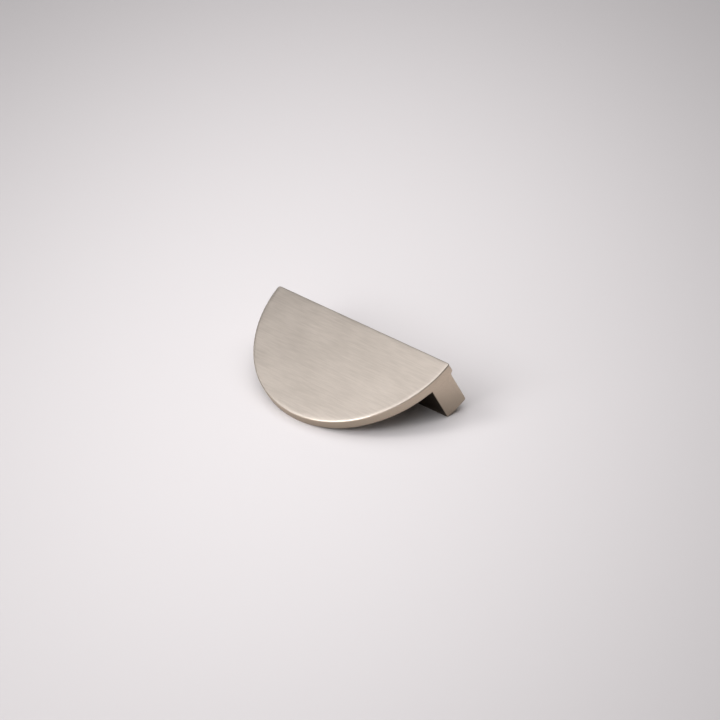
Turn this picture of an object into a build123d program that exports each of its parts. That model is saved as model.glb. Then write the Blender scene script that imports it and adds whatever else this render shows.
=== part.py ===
"""Half-moon cabinet pull: a semicircular face plate with a straight mounting leg behind its flat edge.

Millimetres. +Z is up the drawer front, +X runs along the straight edge, and -Y points into the room.
The origin is on the mounting face, half way between the two screw holes.
"""

import os
from math import radians, tan

from build123d import *

# Outline and section
width = 80.0
projection = 18.8
plate_thickness = 4.0
leg_thickness = 9.0
lip = 1.4

# Rounds on outer edges
face_round = 0.4
tip_round = 1.0
back_round = 0.4
foot_outer_round = 0.8
foot_inner_round = 0.6

# Rounds in inner corners
lip_hollow = 0.5
finger_hollow = 1.5

# Blind holes for M4 x 0.7 screws: open to the thread's outside radius, then plain drilled metal
hole_spacing = 64.0
mouth_radius = 2.3
thread_radius = 2.0
thread_depth = 10.0
drill_radius = 1.65
drill_depth = 12.5
drill_point_angle = 118.0

# Places worked out from the sizes above
rim_radius = width / 2
straight_edge = lip + leg_thickness / 2
lowest_point = straight_edge - rim_radius
leg_outside = leg_thickness / 2
leg_inside = -leg_thickness / 2
face = -projection
plate_back = plate_thickness - projection
mouth_depth = mouth_radius - thread_radius
point_depth = drill_depth + drill_radius / tan(radians(drill_point_angle / 2))

os.makedirs("parts", exist_ok=True)

with BuildPart() as pull:
    # Section across the pull: plate and leg as one L, with a small lip above the leg
    with BuildSketch(Plane.YZ) as section:
        with BuildLine():
            Polyline(
                (face, straight_edge),
                (plate_back, straight_edge),
                (plate_back, leg_outside),
                (0, leg_outside),
                (0, leg_inside),
                (plate_back, leg_inside),
                (plate_back, lowest_point),
                (face, lowest_point),
                close=True,
            )
        make_face()
        corner = section.vertices().sort_by_distance((plate_back, leg_outside))[0]
        fillet(corner, lip_hollow)
        corner = section.vertices().sort_by_distance((plate_back, leg_inside))[0]
        fillet(corner, finger_hollow)
        corner = section.vertices().sort_by_distance((0, leg_outside))[0]
        fillet(corner, foot_outer_round)
        corner = section.vertices().sort_by_distance((0, leg_inside))[0]
        fillet(corner, foot_inner_round)
    extrude(amount=rim_radius, both=True)

    # Half-moon outline: one round rim cuts both the plate and the ends of the leg, so they run flush
    with BuildSketch(Plane.XZ) as half_moon:
        with Locations((0, straight_edge)):
            Circle(rim_radius)
            Rectangle(width, rim_radius, align=(Align.CENTER, Align.MAX), mode=Mode.INTERSECT)
        fillet(half_moon.vertices(), tip_round)
    extrude(amount=projection, mode=Mode.INTERSECT)

    # Full round all the way about the face
    front = pull.faces().sort_by(Axis.Y)[0]
    fillet(front.edges(), face_round)

    # Broken edge at the back: along the lip, down the leg's ends, about its foot and round the rim
    lip_edge = pull.edges().filter_by(Axis.X).sort_by_distance((0, plate_back, straight_edge))[0]
    fillet(lip_edge, back_round)

    # Blind screw holes in the mounting face: chamfered mouth, threaded length, drilled end and its point
    for x in (-hole_spacing / 2, hole_spacing / 2):
        with BuildSketch(Plane.XY) as hole_section:
            with BuildLine():
                Polyline(
                    (x, 0),
                    (x + mouth_radius, 0),
                    (x + thread_radius, -mouth_depth),
                    (x + thread_radius, -thread_depth),
                    (x + drill_radius, -thread_depth),
                    (x + drill_radius, -drill_depth),
                    (x, -point_depth),
                    close=True,
                )
            make_face()
        revolve(axis=Axis((x, 0, 0), (0, 1, 0)), mode=Mode.SUBTRACT)

pull.part.label = "pull"
export_step(pull.part, "parts/pull.step")
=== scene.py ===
"""Half-moon cabinet pull in brushed satin nickel, leaning on its foot and rim on a pale studio floor.

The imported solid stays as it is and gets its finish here. The threads of its two screw holes are
modelled here as well, because the solid has them as plain bores.
"""

from math import cos, radians, sin, tan

import bpy
from mathutils import Matrix, Vector


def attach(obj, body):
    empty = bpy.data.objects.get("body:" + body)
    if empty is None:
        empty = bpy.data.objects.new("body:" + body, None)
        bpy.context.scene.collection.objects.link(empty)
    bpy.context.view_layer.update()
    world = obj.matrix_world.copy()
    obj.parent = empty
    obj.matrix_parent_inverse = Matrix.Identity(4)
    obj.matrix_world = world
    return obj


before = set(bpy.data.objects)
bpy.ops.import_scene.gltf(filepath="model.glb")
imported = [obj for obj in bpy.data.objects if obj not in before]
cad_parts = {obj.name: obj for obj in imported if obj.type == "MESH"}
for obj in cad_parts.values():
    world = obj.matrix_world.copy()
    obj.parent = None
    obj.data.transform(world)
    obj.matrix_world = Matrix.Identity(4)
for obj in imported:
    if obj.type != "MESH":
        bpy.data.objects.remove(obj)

MM = 0.001
scene = bpy.context.scene
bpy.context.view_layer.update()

# Sizes of the pull, from its drawing
RIM_RADIUS = 40.0 * MM
STRAIGHT_EDGE = 5.9 * MM
FACE = -18.8 * MM
FRONT_ROUND = 0.4 * MM
PLATE_BACK = -14.8 * MM
LEG_HALF = 4.5 * MM
HOLE_SPACING = 64.0 * MM
MOUTH_RADIUS = 2.3 * MM
THREAD_RADIUS = 2.0 * MM
CREST_RADIUS = 1.65 * MM
THREAD_PITCH = 0.7 * MM
THREAD_DEPTH = 10.0 * MM

# The pull leans on the inner edge of its foot and on the lowest point of its rim
FLOOR_LEAN = radians(26.447)
FLOOR_DROP = 1.8 * MM
floor_up = Vector((0.0, -cos(FLOOR_LEAN), sin(FLOOR_LEAN)))
floor_across = Vector((1.0, 0.0, 0.0))
floor_away = floor_up.cross(floor_across)

# Camera
CAMERA_LENS = 200.0
CAMERA_SENSOR = 36.0
CAMERA_SEES_FROM = 10.0 * MM
CAMERA_SEES_TO = 20.0
CAMERA_DISTANCE = 1340.0 * MM
CAMERA_HEIGHT_ANGLE = radians(32.182)
CAMERA_TURN = radians(-45.955)
CAMERA_ROLL = radians(-3.783)
CAMERA_AIM = Vector((9.199, -19.113, -6.557)) * MM

look = cos(CAMERA_HEIGHT_ANGLE) * (sin(CAMERA_TURN) * floor_across + cos(CAMERA_TURN) * floor_away)
look = look - sin(CAMERA_HEIGHT_ANGLE) * floor_up
level_right = look.cross(floor_up).normalized()
level_up = level_right.cross(look)
camera_right = cos(CAMERA_ROLL) * level_right + sin(CAMERA_ROLL) * level_up
camera_up = cos(CAMERA_ROLL) * level_up - sin(CAMERA_ROLL) * level_right

camera = bpy.data.objects.new("camera", bpy.data.cameras.new("camera"))
scene.collection.objects.link(camera)
camera.data.lens = CAMERA_LENS
camera.data.sensor_width = CAMERA_SENSOR
camera.data.clip_start = CAMERA_SEES_FROM
camera.data.clip_end = CAMERA_SEES_TO
camera_turn = Matrix((camera_right, camera_up, -look)).transposed().to_4x4()
camera.matrix_world = Matrix.Translation(CAMERA_AIM - CAMERA_DISTANCE * look) @ camera_turn
scene.camera = camera

# Directions on the floor as the picture shows them
picture_right = level_right
picture_deep = floor_up.cross(level_right)
under_pull = CAMERA_AIM - (CAMERA_AIM.dot(floor_up) + FLOOR_DROP) * floor_up


def studio(right, deep, up):
    """A place in the studio, in metres from the floor under the pull, as the picture shows it."""
    return under_pull + right * picture_right + deep * picture_deep + up * floor_up


# Shader maths
class Amount:
    """What comes out of one socket. Ordinary operators work on its number, through Math nodes."""

    def __init__(self, finish, socket):
        self.finish = finish
        self.socket = socket

    def maths(self, operation, *others):
        """This number and others, through one Math node."""
        inputs = dict(enumerate((self, *others)))
        return self.finish.node("ShaderNodeMath", {"operation": operation}, inputs)

    def __add__(self, other):
        return self.maths("ADD", other)

    __radd__ = __add__

    def __sub__(self, other):
        return self.maths("SUBTRACT", other)

    def __rsub__(self, other):
        return self.maths("MULTIPLY", -1.0).maths("ADD", other)

    def __mul__(self, other):
        return self.maths("MULTIPLY", other)

    __rmul__ = __mul__

    def __truediv__(self, other):
        return self.maths("DIVIDE", other)

    def __pow__(self, other):
        return self.maths("POWER", other)

    def rise(self, low, high):
        """0 up to low, 1 from high, and smooth between them."""
        inputs = {"Value": self, "From Min": low, "From Max": high}
        return self.finish.node("ShaderNodeMapRange", {"interpolation_type": "SMOOTHSTEP"}, inputs)

    def parts(self):
        """The x, y and z of a vector."""
        split = self.finish.node("ShaderNodeSeparateXYZ", {}, {"Vector": self})
        return [Amount(self.finish, socket) for socket in split.socket.node.outputs]


class Finish:
    """The nodes of a material, or of the world."""

    def __init__(self, owner):
        owner.use_nodes = True
        self.owner = owner
        self.tree = owner.node_tree
        self.tree.nodes.clear()

    def node(self, kind, settings=None, inputs=None, output=0):
        """A new node: its settings first, then its inputs. What comes back is one of its outputs."""
        new = self.tree.nodes.new(kind)
        for setting, value in (settings or {}).items():
            setattr(new, setting, value)
        for place, value in (inputs or {}).items():
            if isinstance(value, Amount):
                self.tree.links.new(value.socket, new.inputs[place])
            else:
                new.inputs[place].default_value = value
        return Amount(self, new.outputs[output]) if new.outputs else None

    def position(self):
        """Where a point is on its piece, in metres."""
        return self.node("ShaderNodeTexCoord", output="Object")

    def blend(self, share, one, other):
        """A colour between two colours."""
        inputs = {0: share, 6: one, 7: other}
        return self.node("ShaderNodeMix", {"data_type": "RGBA"}, inputs, output=2)

    def mix(self, share, one, other):
        """A shader between two shaders."""
        return self.node("ShaderNodeMixShader", inputs={0: share, 1: one, 2: other})

    def surface(self, shader):
        """The shader that is shown."""
        world = isinstance(self.owner, bpy.types.World)
        kind = "ShaderNodeOutputWorld" if world else "ShaderNodeOutputMaterial"
        self.node(kind, inputs={"Surface": shader})


# Brushed satin nickel
NICKEL = (0.605, 0.552, 0.492, 1.0)
NICKEL_DARK = (0.505, 0.459, 0.407, 1.0)
# Colour of the painted shade low on the rim and on the leg's ends
NICKEL_IN_PAINTED_SHADE = (0.400, 0.365, 0.324, 1.0)
# Colour of the painted shade in the corner between plate and leg
PAINTED_SHADE_IN_CORNER = (0.012, 0.009, 0.007, 1.0)
FACE_ROUGHNESS = 0.37
EDGE_ROUGHNESS = 0.28
# The corner's roughness and shine below belong to that painted shade
CORNER_ROUGHNESS = 0.6
CORNER_SHINE = 0.1

# Brush marks, the wider bands between them, and clouds in the plating
MARK_LENGTH = 6.0 * MM
MARK_WIDTH = 0.25 * MM
RIM_MARK_WIDTH = 0.22 * MM
MARK_DEPTH = 0.0015 * MM
BAND_LENGTH = 7.0 * MM
BAND_WIDTH = 0.6 * MM
MARK_DETAIL = 3.0
MARK_BREAKUP = 0.62
CLOUDS_PER_METRE = 90.0
CLOUD_DETAIL = 2.0
# The middle value of a noise, and how far each of the three moves tone and roughness
MIDDLE = 0.5
MARK_TONE = 0.9
BAND_TONE = 1.1
CLOUD_TONE = 0.5
TONE_TO_ROUGHNESS = 0.10

nickel = Finish(bpy.data.materials.new("brushed_satin_nickel"))
spot = nickel.position()
x, y, z = spot.parts()
from_centre = z - STRAIGHT_EDGE
radius = (x * x + from_centre * from_centre) ** 0.5
round_about = x.maths("ARCTAN2", -1.0 * from_centre)
in_from_rim = RIM_RADIUS - radius
in_from_outline = in_from_rim.maths("MINIMUM", STRAIGHT_EDGE - z)
in_from_face = y - FACE


def brush_marks(along, across, depth, length, width):
    """Fine marks of the brush, about 0.5 on average, drawn out in one direction."""
    inputs = {"X": along / length, "Y": across / width, "Z": depth / width}
    drawn_out = nickel.node("ShaderNodeCombineXYZ", {}, inputs)
    inputs = {"Vector": drawn_out, "Scale": 1.0, "Detail": MARK_DETAIL, "Roughness": MARK_BREAKUP}
    return nickel.node("ShaderNodeTexNoise", {}, inputs)


# The brush ran along the straight edge, and round the rim on the rim and the ends of the leg
RIM_SKIN = (RIM_RADIUS - 0.8 * MM, RIM_RADIUS - 0.3 * MM)
straight_marks = brush_marks(x, z, y, MARK_LENGTH, MARK_WIDTH)
rim_marks = brush_marks(round_about * RIM_RADIUS, y, radius, MARK_LENGTH, RIM_MARK_WIDTH)
on_rim = radius.rise(*RIM_SKIN)
marks = straight_marks + on_rim * (rim_marks - straight_marks)
bands = brush_marks(x, z, y, BAND_LENGTH, BAND_WIDTH)
inputs = {"Vector": spot, "Scale": CLOUDS_PER_METRE, "Detail": CLOUD_DETAIL}
clouds = nickel.node("ShaderNodeTexNoise", {}, inputs)
unevenness = (marks - MIDDLE) * MARK_TONE + (bands - MIDDLE) * BAND_TONE + (clouds - MIDDLE) * CLOUD_TONE

# The front round is burnished: smoother than the brushed faces
BURNISH_STARTS = (0.01 * MM, 0.06 * MM)
BURNISH_ENDS = (0.35 * MM, 0.55 * MM)
BURNISH_REACH = (0.4 * MM, 0.5 * MM)
burnish = in_from_face.rise(*BURNISH_STARTS) - in_from_face.rise(*BURNISH_ENDS)
burnish = burnish * (1.0 - in_from_rim.rise(*BURNISH_REACH))

# The face rolls off a little towards its outline
ROLL_WIDTH = 1.6 * MM
ROLL_SLOPE = 0.075
ROLL_ENDS = (0.2 * MM, 0.6 * MM)
near_outline = (1.0 - in_from_outline / ROLL_WIDTH).maths("MAXIMUM", 0.0)
roll_off = near_outline * near_outline * (-0.5 * ROLL_SLOPE * ROLL_WIDTH)
roll_off = roll_off * (1.0 - in_from_face.rise(*ROLL_ENDS))

# The corner between plate and leg is painted with shade: a dark, matt finish that stands in for the deep
# shade there.
# The painted shade runs far along the leg, and only a fifth as far down the back of the plate.
CORNER_DARK_TO = 10.0 * MM
CORNER_REACH = 26.0 * MM
CORNER_NARROWING = 5.0
CORNER_EDGE = (-0.4 * MM, 0.0)
out_from_plate = y - PLATE_BACK
down_from_leg = -1.0 * z - LEG_HALF
down_squared = CORNER_NARROWING**2 * down_from_leg * down_from_leg
from_corner = (out_from_plate * out_from_plate + down_squared) ** 0.5
corner_shade_share = (1.0 - from_corner.rise(CORNER_DARK_TO, CORNER_REACH)) * out_from_plate.rise(*CORNER_EDGE)
corner_shade_share = corner_shade_share * down_from_leg.rise(*CORNER_EDGE)

# Painted shade: low on the rim and on the leg's ends, towards the foot, the metal is a darker tone, as
# in the photograph
RIM_LOW = (-RIM_RADIUS, 8.0 * MM)
LEG_LOW = (PLATE_BACK - 2.0 * MM, -2.0 * MM)
LEG_SLANT = 0.9
PAST_PLATE = (PLATE_BACK - 1.5 * MM, PLATE_BACK)
PAST_ROUND = (0.2 * MM, 0.5 * MM)
behind_plate = y.rise(*PAST_PLATE)
low_on_rim = (1.0 - z.rise(*RIM_LOW)) * (1.0 - behind_plate)
low_on_leg = (y - LEG_SLANT * z).rise(*LEG_LOW) * behind_plate
painted_shade_low = in_from_face.rise(*PAST_ROUND) * on_rim * (low_on_rim + low_on_leg)
colour = nickel.blend((unevenness + MIDDLE).rise(0.0, 1.0), NICKEL_DARK, NICKEL)
colour = nickel.blend(painted_shade_low, colour, NICKEL_IN_PAINTED_SHADE)
roughness = FACE_ROUGHNESS + unevenness * TONE_TO_ROUGHNESS
roughness = roughness + burnish * (EDGE_ROUGHNESS - roughness)

# On the front round the normal is worked out from the place, so that the solid's facets don't show.
# This stops short of the two tips and of the straight edge.
ROUND_REACH = 0.5 * MM
ROUND_TOP = 4.7 * MM
facing = (1.0 - in_from_face / FRONT_ROUND).maths("MAXIMUM", 0.0).maths("MINIMUM", 1.0)
outward = (1.0 - facing * facing) ** 0.5 / radius
inputs = {"X": x * outward, "Y": -1.0 * facing, "Z": from_centre * outward}
true_normal = nickel.node("ShaderNodeCombineXYZ", {}, inputs)
on_round = in_from_face.maths("LESS_THAN", FRONT_ROUND) * in_from_rim.maths("LESS_THAN", ROUND_REACH)
on_round = on_round * z.maths("LESS_THAN", ROUND_TOP)
facet_normal = nickel.node("ShaderNodeNewGeometry", output="Normal")
inputs = {0: on_round, 4: facet_normal, 5: true_normal}
smooth_normal = nickel.node("ShaderNodeMix", {"data_type": "VECTOR"}, inputs, output=1)
relief = marks * MARK_DEPTH + roll_off
inputs = {"Strength": 1.0, "Distance": 1.0, "Height": relief, "Normal": smooth_normal}
grain = nickel.node("ShaderNodeBump", {}, inputs)

inputs = {"Base Color": colour, "Metallic": 1.0, "Roughness": roughness, "Normal": grain}
metal = nickel.node("ShaderNodeBsdfPrincipled", {}, inputs)
# A dark sheet of painted shade, laid over the metal in the corner between plate and leg
inputs = {
    "Base Color": PAINTED_SHADE_IN_CORNER,
    "Roughness": CORNER_ROUGHNESS,
    "Specular IOR Level": CORNER_SHINE,
}
painted_corner_shade = nickel.node("ShaderNodeBsdfPrincipled", {}, inputs)
nickel.surface(nickel.mix(corner_shade_share, metal, painted_corner_shade))

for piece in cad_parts.values():
    for slot in piece.material_slots:
        slot.material = nickel.owner

# Screw threads. The ridge is seven eighths of the pitch wide where it meets the wall of the bore.
THREAD_TURNS = 15
STEPS_IN_TURN = 48
STEPS_ROUND_MOUTH = 64
THREAD_SINK = 0.03 * MM
FLANK_SLOPE = tan(radians(30.0))
WALL_WIDTH = THREAD_PITCH * 7 / 8
CREST_WIDTH = WALL_WIDTH - 2 * (THREAD_RADIUS - CREST_RADIUS) * FLANK_SLOPE
BASE_WIDTH = WALL_WIDTH + 2 * THREAD_SINK * FLANK_SLOPE
RIDGE_HEIGHT = THREAD_RADIUS + THREAD_SINK - CREST_RADIUS
END_CLEARANCE = 0.01 * MM
CUT_TOLERANCE = 0.001 * MM
MOUTH_OVERCUT = 1.0 * MM
SMOOTH_BELOW = radians(30.0)


def ridge_in_bore():
    """The ridge of a tapped M4 thread about the Y axis, its outside let a hair into the bore's wall."""
    # Section of the ridge, below the threaded length: a plane whose inner edge is narrowed to the crest
    bpy.ops.object.select_all(action="DESELECT")
    bpy.ops.mesh.primitive_plane_add(size=1.0)
    ridge = bpy.context.object
    bpy.ops.object.mode_set(mode="EDIT")
    bpy.ops.transform.resize(value=(RIDGE_HEIGHT, BASE_WIDTH, 1.0))
    middle = (CREST_RADIUS + RIDGE_HEIGHT / 2, -THREAD_DEPTH - THREAD_PITCH / 2, 0.0)
    bpy.ops.transform.translate(value=middle)
    bpy.ops.mesh.select_all(action="DESELECT")
    bpy.ops.object.mode_set(mode="OBJECT")
    for edge in ridge.data.edges:
        edge.select = all(ridge.data.vertices[end].co.x < middle[0] for end in edge.vertices)
    bpy.ops.object.mode_set(mode="EDIT")
    bpy.ops.transform.resize(value=(1.0, CREST_WIDTH / BASE_WIDTH, 1.0))
    bpy.ops.object.mode_set(mode="OBJECT")

    # Wound into a right-handed helix, closed at both ends
    helix = ridge.modifiers.new("helix", "SCREW")
    helix.axis = "Y"
    helix.screw_offset = THREAD_PITCH
    helix.iterations = THREAD_TURNS
    helix.steps = helix.render_steps = STEPS_IN_TURN
    bpy.ops.object.modifier_apply(modifier="helix")
    bpy.ops.object.mode_set(mode="EDIT")
    bpy.ops.mesh.select_all(action="DESELECT")
    bpy.ops.mesh.select_non_manifold()
    bpy.ops.mesh.fill_holes(sides=4)
    bpy.ops.mesh.select_all(action="SELECT")
    bpy.ops.mesh.normals_make_consistent(inside=False)

    # Cut level at the end of the threaded length
    bpy.ops.mesh.bisect(
        plane_co=(0.0, END_CLEARANCE - THREAD_DEPTH, 0.0),
        plane_no=(0.0, -1.0, 0.0),
        use_fill=True,
        clear_outer=True,
        threshold=CUT_TOLERANCE,
    )
    bpy.ops.object.mode_set(mode="OBJECT")

    # Countersunk as the mouth of the hole is
    depth = MOUTH_RADIUS + MOUTH_OVERCUT
    bpy.ops.object.select_all(action="DESELECT")
    bpy.ops.mesh.primitive_cone_add(
        vertices=STEPS_ROUND_MOUTH,
        radius1=depth,
        radius2=0.0,
        depth=depth,
        location=(0.0, MOUTH_OVERCUT - depth / 2, 0.0),
        rotation=(radians(90.0), 0.0, 0.0),
    )
    countersink = bpy.context.object
    bpy.context.view_layer.objects.active = ridge
    mouth = ridge.modifiers.new("mouth", "BOOLEAN")
    mouth.operation = "DIFFERENCE"
    mouth.object = countersink
    bpy.ops.object.modifier_apply(modifier="mouth")
    bpy.data.objects.remove(countersink)
    ridge.select_set(True)
    bpy.ops.object.shade_smooth_by_angle(angle=SMOOTH_BELOW)
    return ridge


thread = ridge_in_bore()
for name, side in (("left_screw_thread", -1), ("right_screw_thread", 1)):
    bpy.ops.object.select_all(action="DESELECT")
    thread.select_set(True)
    bpy.context.view_layer.objects.active = thread
    bpy.ops.object.duplicate()
    piece = bpy.context.object
    piece.name = name
    bpy.ops.transform.translate(value=(side * HOLE_SPACING / 2, 0.0, 0.0))
    bpy.ops.object.transform_apply(location=True, rotation=True, scale=True)
    piece.data.materials.append(nickel.owner)
    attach(piece, "root")
bpy.data.objects.remove(thread)

# Studio floor with painted light: paler in the middle and painted darker away from it, as a pool of
# lamplight. Distances are in metres, to the picture's right and deep into it.
FLOOR_SIZE = 1.4
FLOOR_COLOUR = (0.850, 0.836, 0.842, 1.0)
FLOOR_PAINTED_FALLOFF_COLOUR = (0.55, 0.54, 0.545, 1.0)
FLOOR_BOUNCE = (0.80, 0.72, 0.65, 1.0)
FLOOR_MIDDLE = Vector((0.0, 0.082))
FLOOR_FADE = Vector((0.134, 0.270))
FADE_RANGE = (0.1, 1.7)

bpy.ops.object.select_all(action="DESELECT")
bpy.ops.mesh.primitive_plane_add(size=FLOOR_SIZE)
floor = bpy.context.object
floor.name = "floor"
floor_turn = Matrix((picture_right, picture_deep, floor_up)).transposed().to_4x4()
floor.matrix_world = Matrix.Translation(under_pull) @ floor_turn

# The floor is paper with a painted falloff of light towards its edges, and it throws a warmer light on
# the metal. A camera below it looks through it, so that the back of the pull can be seen.
ground = Finish(bpy.data.materials.new("studio_floor"))
from_below = ground.node("ShaderNodeNewGeometry", output="Backfacing")
camera_looks = ground.node("ShaderNodeLightPath", output="Is Camera Ray")
right, deep = ground.position().parts()[:2]
# Painted light: the paper darkens with distance from the middle, as lamplight falls off
to_right = (right - FLOOR_MIDDLE.x) / FLOOR_FADE.x
to_far = (deep - FLOOR_MIDDLE.y) / FLOOR_FADE.y
from_middle = (to_right * to_right + to_far * to_far) ** 0.5
near_paper = ground.node("ShaderNodeBsdfDiffuse", inputs={"Color": FLOOR_COLOUR})
paper_in_painted_falloff = ground.node("ShaderNodeBsdfDiffuse", inputs={"Color": FLOOR_PAINTED_FALLOFF_COLOUR})
warm_paper = ground.node("ShaderNodeBsdfDiffuse", inputs={"Color": FLOOR_BOUNCE})
paper = ground.mix(from_middle.rise(*FADE_RANGE), near_paper, paper_in_painted_falloff)
seen_paper = ground.mix(camera_looks, warm_paper, paper)
nothing = ground.node("ShaderNodeBsdfTransparent")
ground.surface(ground.mix(from_below * camera_looks, seen_paper, nothing))
floor.data.materials.append(ground.owner)

# Beyond the floor the camera sees a pale backdrop, and the metal mirrors pale walls
BACKDROP_COLOUR = (0.78, 0.76, 0.765, 1.0)
WALL_COLOUR = (1.0, 0.97, 0.94, 1.0)
WALL_STRENGTH = 0.1

scene.world = bpy.data.worlds.new("studio")
backdrop = Finish(scene.world)
camera_looks = backdrop.node("ShaderNodeLightPath", output="Is Camera Ray")
mirrored = backdrop.node("ShaderNodeLightPath", output="Is Glossy Ray")
inputs = {"Color": BACKDROP_COLOUR, "Strength": 1.0}
pale = backdrop.node("ShaderNodeBackground", inputs=inputs)
inputs = {"Color": WALL_COLOUR, "Strength": WALL_STRENGTH}
walls = backdrop.node("ShaderNodeBackground", inputs=inputs)
unlit = backdrop.node("ShaderNodeBackground", inputs={"Strength": 0.0})
room = backdrop.mix(mirrored, unlit, walls)
backdrop.surface(backdrop.mix(camera_looks, room, pale))

# Studio lamps
LAMP_COLOUR = (1.0, 0.97, 0.975)
LAMP_DISTANCE = 0.75
LAMP_AIM = studio(0.0, 0.0, 10.0 * MM)
WIDE_LAMP = 0.83


def around_pull(turn, height):
    """A lamp's place. The turn goes from the picture's right towards its far side, in degrees."""
    level = LAMP_DISTANCE * cos(radians(height))
    up = LAMP_DISTANCE * sin(radians(height))
    return studio(level * cos(radians(turn)), level * sin(radians(turn)), up)


def softbox(name, turn, height, size, power):
    """A square lamp about the pull, aimed at its middle. It isn't seen itself."""
    lamp = bpy.data.objects.new(name, bpy.data.lights.new(name, "AREA"))
    scene.collection.objects.link(lamp)
    lamp.data.shape = "SQUARE"
    lamp.data.size = size
    lamp.data.energy = power
    lamp.data.color = LAMP_COLOUR
    lamp.location = around_pull(turn, height)
    lamp.rotation_mode = "QUATERNION"
    lamp.rotation_quaternion = (LAMP_AIM - lamp.location).to_track_quat("-Z", "Y")
    lamp.visible_camera = False


softbox("left_softbox", turn=180.0, height=51.0, size=0.25, power=1.5)
softbox("key_softbox", turn=215.0, height=37.0, size=0.30, power=1.5)
softbox("low_softbox", turn=220.0, height=20.0, size=WIDE_LAMP, power=3.1)
softbox("top_softbox", turn=90.0, height=80.0, size=WIDE_LAMP, power=2.3)
softbox("far_softbox", turn=30.0, height=66.0, size=WIDE_LAMP, power=1.3)
softbox("front_softbox", turn=268.0, height=58.0, size=0.40, power=0.7)

scene.view_settings.view_transform = "Standard"
